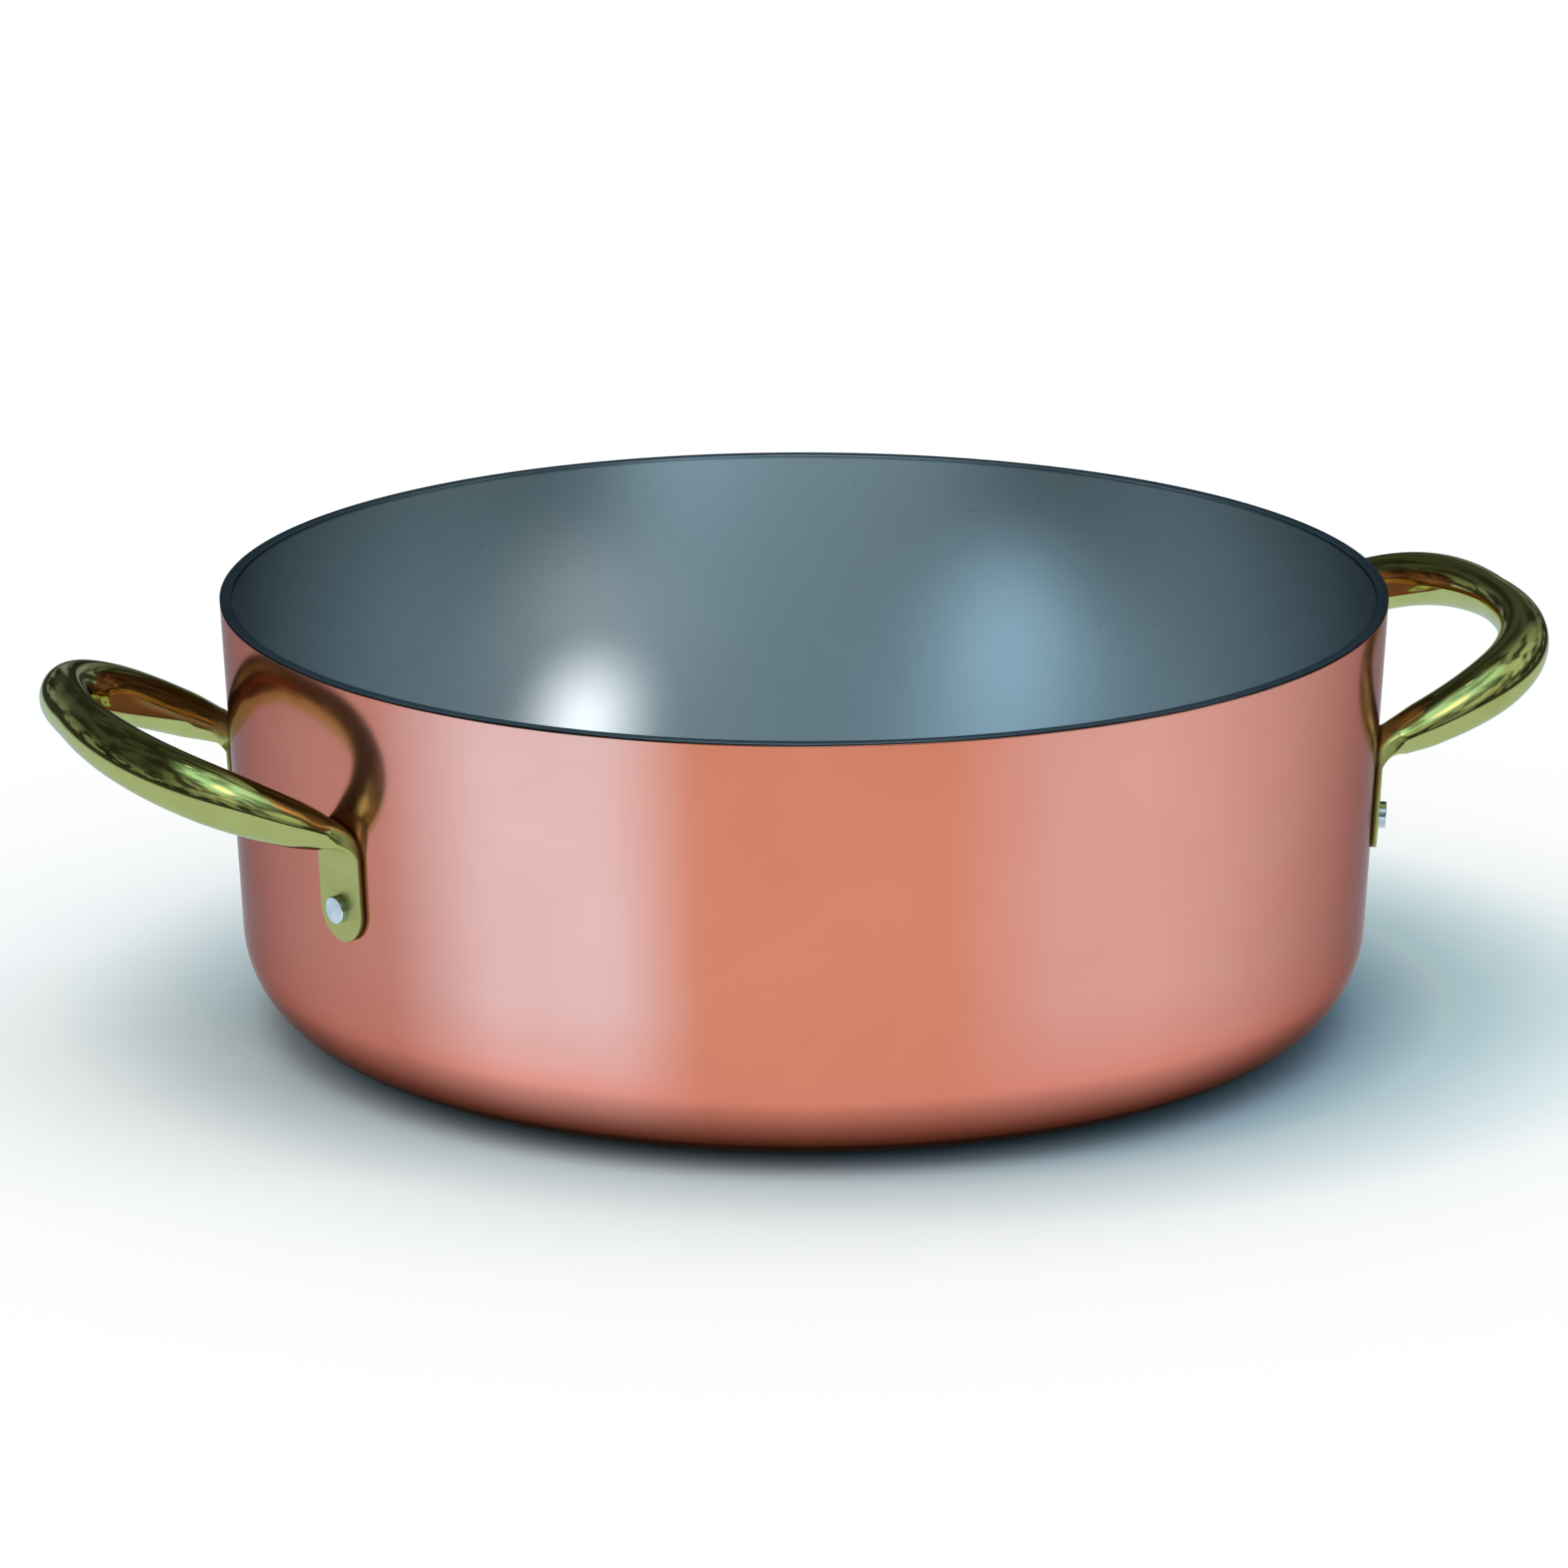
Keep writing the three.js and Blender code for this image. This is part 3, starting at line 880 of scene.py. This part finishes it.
# %% White room
WHITE = (1.0, 1.0, 1.0)
ROOM_LIGHT = (0.62, 0.62, 0.62)

room = bpy.data.worlds.new("white_room")
bpy.context.scene.world = room
room.use_nodes = True
tree = room.node_tree
path = tree.nodes.new("ShaderNodeLightPath")
seen = math_node(tree, "MAXIMUM", path.outputs["Is Camera Ray"], path.outputs["Is Glossy Ray"])
set_inputs(tree.nodes["Background"], Color=two_tones(tree, seen, ROOM_LIGHT, WHITE))
tell_nodes(room)

# %% [markdown]
# The floor is white paper, and its colour carries a painted shadow, on top of the shadow that the room's
# light leaves. The painted shadow turns bluish close to the pan, more so to the right: a dark round tone
# under the pan, and a bluish oval about it that fades through a faint haze to white. Three masks in the
# material are enough for this, one inside the other.

# %% Paper floor
FLOOR_SIZE = 6.0
FLOOR_DROP = 0.0002  # keeps the floor just clear of the base
# painted shadow on the floor: dark under the pan, bluish round it, then a faint haze
FLOOR_CONTACT_SHADOW = (0.23, 0.45, 0.62)
FLOOR_NEAR_SHADOW = (0.54, 0.77, 0.84)
FLOOR_SHADOW_HAZE = (0.91, 0.985, 1.0)
FLOOR_TONE = (0.975, 0.985, 0.99)
FLOOR_SHADOW_OVALS = [
    # middle to the right and back as the camera sees it, stretch, start and end of the fade, tone outside
    (0.011, 0.002, 1.00, 0.098, 0.122, FLOOR_NEAR_SHADOW),
    (0.016, 0.005, 1.16, 0.108, 0.150, FLOOR_SHADOW_HAZE),
    (0.000, 0.000, 1.16, 0.145, 0.195, FLOOR_TONE),
]


def new_paint(name):
    """A material with an empty tree but for its output, and that output."""
    material = bpy.data.materials.new(name)
    material.use_nodes = True
    tree = material.node_tree
    tree.nodes.remove(tree.nodes["Principled BSDF"])
    return material, tree, tree.nodes["Material Output"].inputs["Surface"]


def oval_reach(tree, right, back, stretch):
    """How far a point of the floor is from a middle right of and behind the pan's, in a stretched oval."""
    sideways = math_node(tree, "SUBTRACT", part_along(tree, rightwards), right)
    sideways = math_node(tree, "DIVIDE", sideways, stretch)
    forwards = math_node(tree, "ADD", part_along(tree, towards), back)
    flat = tree.nodes.new("ShaderNodeCombineXYZ")
    set_inputs(flat, X=sideways, Y=forwards)
    return length_of(tree, flat.outputs["Vector"])


bm = bmesh.new()
bmesh.ops.create_grid(bm, x_segments=1, y_segments=1, size=FLOOR_SIZE)
bmesh.ops.translate(bm, verts=bm.verts[:], vec=UP * -FLOOR_DROP)
floor = smooth_piece("floor", bm)
floor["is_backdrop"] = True

floor_paper_painted_shadow, tree, surface = new_paint("floor_paper_painted_shadow")
# painted shadow: the floor's colour darkens and turns bluish towards the pan
tone = FLOOR_CONTACT_SHADOW
for right, back, stretch, start, end, outside in FLOOR_SHADOW_OVALS:
    mask = ranged(tree, oval_reach(tree, right, back, stretch), start, end)
    tone = two_tones(tree, mask, tone, outside)
paper = set_inputs(tree.nodes.new("ShaderNodeBsdfDiffuse"), Color=tone)
feed(surface, paper.outputs["BSDF"])
floor.data.materials.append(floor_paper_painted_shadow)
tell_nodes(floor_paper_painted_shadow)

# %% [markdown]
# A polished pan is lit as much by what it reflects as by lamps, and a white room would make it look
# like plaster. Photographers hang a tent round such a thing, to choose what it mirrors. This tent is a
# dome with a floor, turned on the same lathe as the pan, and only reflections see it. Under the pan its
# floor has a hole, where the copper's round foot mirrors the shadow on the paper.

# %% Tent that only reflections see
TENT_RADIUS = 3.0
TENT_STEPS = 24  # from the floor to the top
HOLE_RADIUS = 0.095
TENT_LIFT = 0.0004  # of its floor above the paper


def only_reflected(piece):
    """Hides a stage piece from all rays but those that metals mirror."""
    piece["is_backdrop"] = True
    piece.visible_camera = False
    piece.visible_diffuse = False
    piece.visible_shadow = False


def shine_only_on(source, pieces):
    """Links a light or a glowing piece to the pieces that it may shine on."""
    receivers = bpy.data.collections.new(source.name + "_receivers")
    for piece in pieces:
        receivers.objects.link(piece)
    source.light_linking.receiver_collection = receivers


bm, pen = start_pen(HOLE_RADIUS, TENT_LIFT)
pen = line_to(bm, pen, TENT_RADIUS, TENT_LIFT)
arc_about(bm, pen, 0.0, TENT_LIFT, -QUARTER_TURN, TENT_STEPS)
turn(bm, 4 * TENT_STEPS)
tent = smooth_piece("tent", bm)
only_reflected(tent)
shine_only_on(tent, [copper_body, handle_left, handle_right, *rivets.values()])

# %% [markdown]
# The tent's cloth has a dark floor, a streaky edge, half light on the camera's side, dark folds, and a
# bright patch with a small warm core overhead. It could be many lamps, but a single glowing cloth gives
# the metals soft shapes without hard borders. Each of its parts is a mask that grows along one way.

# %% Cloth of the tent
TENT_PATCH = (0.52, 0.88, 0.92)
TENT_CORE = (1.45, 1.35, 1.30)
TENT_HALF = (0.42, 0.51, 0.45)
TENT_EDGE = (0.20, 0.24, 0.21)
TENT_BACK = (0.05, 0.06, 0.05)
TENT_DARK = (0.016, 0.018, 0.014)
TENT_FLOOR = (0.030, 0.034, 0.026)
HALF_WAY = (0.80, -0.60, 0.00)  # as the camera sees it
PATCH_WAY = (0.25, -0.50, 1.00)
CORE_WAY = (0.30, -0.80, 1.00)
UP_WAY = (0.00, 0.00, 1.00)
HALF_FADE = (-0.2, 0.5)  # shares of the tent's radius along the way
PATCH_FADE = (0.82, 0.94)
CORE_FADE = (0.986, 0.996)
EDGE_FADE = (0.10, 0.34)
FLOOR_FADE = (0.01, 0.03)
FOLDS_PER_METRE = 1.1
FOLD_RANGE = (0.42, 0.58)
FOLD_SHARE = 0.9
FOLD_ON_PATCH = 0.65
STREAKS_PER_METRE = 1.9
STREAK_RANGE = (0.44, 0.56)
HOLE_FADE = (0.098, 0.106)  # from the pan's axis


def tent_share(tree, way, fade):
    """A mask that grows along a way, over shares of the tent's radius."""
    return ranged(tree, part_along(tree, as_seen(*way).normalized() / TENT_RADIUS), *fade)


tent_cloth, tree, surface = new_paint("tent_cloth")
folds = ranged(tree, group_node(tree, grain, FOLDS_PER_METRE), *FOLD_RANGE)
streaks = ranged(tree, group_node(tree, grain, STREAKS_PER_METRE), *STREAK_RANGE)
tone = two_tones(tree, tent_share(tree, HALF_WAY, HALF_FADE), TENT_BACK, TENT_HALF)
tone = two_tones(tree, math_node(tree, "MULTIPLY", folds, FOLD_SHARE), tone, TENT_DARK)
patch = tent_share(tree, PATCH_WAY, PATCH_FADE)
patch = math_node(tree, "MULTIPLY", patch, ranged(tree, folds, 0.0, 1.0, 1.0, 1.0 - FOLD_ON_PATCH))
tone = two_tones(tree, patch, tone, TENT_PATCH)
tone = two_tones(tree, tent_share(tree, CORE_WAY, CORE_FADE), tone, TENT_CORE)
edge = two_tones(tree, streaks, TENT_DARK, TENT_EDGE)
tone = two_tones(tree, tent_share(tree, UP_WAY, EDGE_FADE), edge, tone)
tone = two_tones(tree, tent_share(tree, UP_WAY, FLOOR_FADE), TENT_FLOOR, tone)
glow = set_inputs(tree.nodes.new("ShaderNodeEmission"), Color=tone)
clear = tree.nodes.new("ShaderNodeBsdfTransparent")
blend = tree.nodes.new("ShaderNodeMixShader")
set_inputs(blend, Fac=ranged(tree, off_axis(tree), *HOLE_FADE))
feed(blend.inputs[1], clear.outputs["BSDF"])
feed(blend.inputs[2], glow.outputs["Emission"])
feed(surface, blend.outputs["Shader"])
tent.data.materials.append(tent_cloth)
tell_nodes(tent_cloth)

# %% [markdown]
# On the tent's floor lie two clear sheets that glow. Light linking lets a light shine on chosen pieces
# alone. The first sheet is round. It shines on brass and steel, and gives them a calm grey underside.

# %% Grey sheet of light
GREY = (0.39, 0.50, 0.535, 1.0)
GREY_FADE = (0.42, 0.60)  # from the pan's axis
GREY_LIFT = 2 * TENT_LIFT


def glowing_sheet(piece, tree, surface):
    """Makes a sheet clear but for a glow, hides it from all but reflections, and returns the glow."""
    glow = tree.nodes.new("ShaderNodeEmission")
    clear = tree.nodes.new("ShaderNodeBsdfTransparent")
    both = tree.nodes.new("ShaderNodeAddShader")
    feed(both.inputs[0], glow.outputs["Emission"])
    feed(both.inputs[1], clear.outputs["BSDF"])
    feed(surface, both.outputs["Shader"])
    only_reflected(piece)
    return glow


bm, pen = start_pen(HOLE_RADIUS, GREY_LIFT)
line_to(bm, pen, GREY_FADE[1], GREY_LIFT)
turn(bm)
grey_sheet = smooth_piece("grey_sheet", bm)
grey_glow, tree, surface = new_paint("grey_glow")
cover = ranged(tree, off_axis(tree), *HOLE_FADE)
inside = ranged(tree, off_axis(tree), *GREY_FADE, 1.0, 0.0)
glow = glowing_sheet(grey_sheet, tree, surface)
set_inputs(glow, Color=GREY, Strength=math_node(tree, "MULTIPLY", cover, inside))
grey_sheet.data.materials.append(grey_glow)
shine_only_on(grey_sheet, [handle_left, handle_right, *rivets.values()])
tell_nodes(grey_glow)

# %% [markdown]
# The second sheet is a fan that goes all round the pan and shines on copper and steel. Seen from the
# camera it is cool to the left, warm in the middle, pale to the right and dimmer at the sides. Straight
# bands on the floor would look slanted in a round wall. So each edge of the fan follows the way a sight
# line flies when it leaves the wall, and the bands stand upright on the copper. A table gives the tones
# at angles from the camera, and the tones in between are mixed.

# %% Lines of the fan
HALF_TURN = 180.0
FULL_TURN = 360.0
FAN_TURN = 80.0  # degrees from the camera, up to which the edges follow the sight lines
FAN_START = 0.106  # from the pan's axis
FAN_FADE = (0.012, 0.023)  # from the wall, in front and at the sides
FAN_NEAR = 0.080
FAN_FAR = 1.500
FAN_FOOT = (0.05, 0.03, 0.022)
NEAR = (0.70, 0.58, 0.57)
NEAR_SHARE = 0.75  # of the near tone, where the fan begins
WARM = (0.675, 0.61, 0.515)
COOL = (0.79, 1.33, 1.75)
PALE = (0.715, 0.895, 1.06)
SIDE = (0.51, 0.51, 0.56)
EVEN = (0.50, 0.56, 0.63)
DIM = (0.46, 0.50, 0.57)
FAN_STOPS = [
    # degrees to the right of the camera, and tone
    (0.0, WARM),
    (14.0, WARM),
    (26.0, PALE),
    (37.0, PALE),
    (60.0, EVEN),
    (70.0, DIM),
    (84.0, DIM),
    (102.0, SIDE),
    (132.0, WARM),
    (165.0, PALE),
    (195.0, PALE),
    (228.0, WARM),
    (258.0, SIDE),
    (276.0, DIM),
    (300.0, DIM),
    (315.0, SIDE),
    (329.0, COOL),
    (341.5, COOL),
    (350.0, WARM),
    (360.0, WARM),
]


def fan_tone(degrees):
    """The fan's tone at an angle from the camera, between the stops on both sides."""
    i = max(k for k in range(len(FAN_STOPS) - 1) if FAN_STOPS[k][0] <= degrees)
    (low, low_tone), (high, high_tone) = FAN_STOPS[i], FAN_STOPS[i + 1]
    return Vector(low_tone).lerp(Vector(high_tone), (degrees - low) / (high - low))


def sight_line(degrees):
    """Points and tones along the floor where a sight line flies that left the wall at an angle."""
    off = (degrees + HALF_TURN) % FULL_TURN - HALF_TURN
    turn_off = min(abs(off), FAN_TURN)
    slow = (HALF_TURN - 2 * FAN_TURN) / (HALF_TURN - FAN_TURN)
    way_off = math.copysign(2 * turn_off + slow * (abs(off) - turn_off), off)
    radial, way = (
        as_seen(math.sin(angle), -math.cos(angle), 0.0)
        for angle in map(math.radians, (off, way_off))
    )
    tone = fan_tone(degrees)
    fade = FAN_FADE[0] + (FAN_FADE[1] - FAN_FADE[0]) * turn_off / FAN_TURN
    foot = radial * BASE_RADIUS
    return [
        (radial * FAN_START, Vector(FAN_FOOT)),
        (foot + way * fade, tone.lerp(Vector(NEAR) * tone.x / NEAR[0], NEAR_SHARE)),
        (foot + way * FAN_NEAR, tone),
        (foot + way * FAN_FAR, tone),
    ]


print("the fan has", len(FAN_STOPS), "stops")

# %% [markdown]
# The fan's sheet is made as the handle was: a row of vertices is extruded step by step, a layer tells
# each vertex its rank in the row, and a colour layer takes the tones along into the material. Each
# further mirror on the way makes the glow weaker, because the handles would otherwise turn orange next
# to the wall.

# %% Fan of coloured light
FAN_STEP = 2.0  # degrees
FAN_LIFT = 3 * TENT_LIFT
FAN_SHARE = 0.25  # of its strength is left after each further mirror

bm = bmesh.new()
rank_layer = bm.verts.layers.int.new("rank_along_line")
tone_layer = bm.verts.layers.float_color.new("fan_tone")
row = [bm.verts.new((0.0, 0.0, 0.0)) for _ in sight_line(0.0)]
for rank, vert in enumerate(row):
    vert[rank_layer] = rank
edges = [bm.edges.new(pair) for pair in zip(row, row[1:])]
fan_steps = round(FULL_TURN / FAN_STEP)
for step in range(fan_steps + 1):
    line = sight_line(step * FAN_STEP)
    for vert in row:
        place, tone = line[vert[rank_layer]]
        vert.co = place + UP * FAN_LIFT
        vert[tone_layer] = (*tone, 1.0)
    if step < fan_steps:
        made = bmesh.ops.extrude_edge_only(bm, edges=edges)["geom"]
        row = [item for item in made if isinstance(item, bmesh.types.BMVert)]
        edges = [e for e in made if isinstance(e, bmesh.types.BMEdge) and set(e.verts) <= set(row)]
fan = smooth_piece("colour_fan", bm)
fan_glow, tree, surface = new_paint("fan_glow")
tone = add_node(tree, "ShaderNodeAttribute", attribute_name="fan_tone").outputs["Color"]
mirrors = tree.nodes.new("ShaderNodeLightPath").outputs["Glossy Depth"]
further = math_node(tree, "SUBTRACT", mirrors, 1.0)
glow = glowing_sheet(fan, tree, surface)
set_inputs(glow, Color=tone, Strength=math_node(tree, "POWER", FAN_SHARE, further))
fan.data.materials.append(fan_glow)
shine_only_on(fan, [copper_body, *rivets.values()])
tell_nodes(fan_glow)

# %% [markdown]
# Soft boxes shine on the lining alone: one overhead and four round the pan, so that the far wall has its
# bluish sheen from any side. A last box, high up, shines on the paper alone and keeps it white. The
# table gives places as the camera sees them: to the right of the pan, beyond it and above the floor.

# %% Soft boxes
LINING_BLUE = (0.62, 0.88, 1.0)
LINING_PALE = (0.64, 0.90, 0.92)
SOFT_BOXES = [
    # name, place, width, height, brightness of its face, colour, piece that it shines on
    ("lining_sky", (0.00, 0.00, 1.25), 0.90, 0.90, 1.20, LINING_BLUE, tin_lining),
    ("lining_front", (0.00, -1.35, 0.95), 2.20, 0.80, 2.00, LINING_BLUE, tin_lining),
    ("lining_back", (0.00, 1.35, 1.10), 1.00, 0.80, 1.00, LINING_BLUE, tin_lining),
    ("lining_right", (1.50, -0.15, 0.95), 1.00, 0.80, 1.40, LINING_PALE, tin_lining),
    ("lining_left", (-1.50, -0.15, 0.95), 1.00, 0.80, 1.45, LINING_BLUE, tin_lining),
    ("paper_light", (0.00, 0.00, 7.00), 8.00, 8.00, 1.42, WHITE, floor),
]


def place_lamp(name, kind, place, aim, colour, piece):
    """A lamp of a kind that looks from a place at an aim and shines on one piece."""
    lamp = bpy.data.lights.new(name, kind)
    lamp.color = colour
    stand = bpy.data.objects.new(name, lamp)
    stand.location = place
    stand.rotation_euler = (aim - place).to_track_quat("-Z", "Y").to_euler()
    bpy.context.scene.collection.objects.link(stand)
    shine_only_on(stand, [piece])
    return lamp


for name, place, wide, tall, glow, colour, piece in SOFT_BOXES:
    lamp = place_lamp(name, "AREA", as_seen(*place), UP * PAN_HEIGHT / 2, colour, piece)
    lamp.shape = "RECTANGLE"
    lamp.size = wide
    lamp.size_y = tall
    lamp.energy = glow * math.pi * wide * tall  # a face of brightness 1 sheds pi watts a square metre
print("soft boxes:", ", ".join(lamp.name for lamp in bpy.data.lights))

# %% [markdown]
# Four narrow beams put the glints on the wall that the camera sees. A glint sits where a lamp, the wall
# and the eye line up, and it is tedious to find by moving lamps about. A spot that is aimed at a place
# on the wall, and is just wide enough to light that place, does it in one go.

# %% Narrow beams
BEAM_BLUE = (0.50, 0.80, 1.0)
BEAM_SOURCE = 0.009  # radius of a beam's source
BEAMS = [
    # name, place, degrees right of the far wall's middle, height there, spread, watts, colour
    ("beam_left", (1.06, -0.94, 0.62), -25.4, 0.0305, 0.016, 112.0, WHITE),
    ("beam_halo", (1.06, -0.94, 0.62), -29.5, 0.0280, 0.052, 15.0, WHITE),
    ("beam_middle", (0.66, -1.25, 0.70), -11.0, 0.0580, 0.090, 7.0, LINING_BLUE),
    ("beam_right", (-1.00, -1.00, 0.62), 29.8, 0.0185, 0.060, 39.0, BEAM_BLUE),
]

for name, place, degrees, height, spread, power, colour in BEAMS:
    angle = math.radians(degrees)
    radius = wall_radius(height, bore_depth)
    aim = as_seen(radius * math.sin(angle), radius * math.cos(angle), height)
    source = as_seen(*place)
    lamp = place_lamp(name, "SPOT", source, aim, colour, tin_lining)
    lamp.spot_size = 2 * math.atan(spread / (aim - source).length)
    lamp.spot_blend = 1.0
    lamp.shadow_soft_size = BEAM_SOURCE
    lamp.energy = power
    print(name, "is aimed at, in mm:", in_mm(aim))

# %% [markdown]
# Last, the colours are shown as they are, and the sizes of the CAD model and of the dressed pan are
# written side by side.

# %% Finish
bpy.context.scene.view_settings.view_transform = "Standard"
visual_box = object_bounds()
print("dressed box in mm:", *map(in_mm, visual_box))
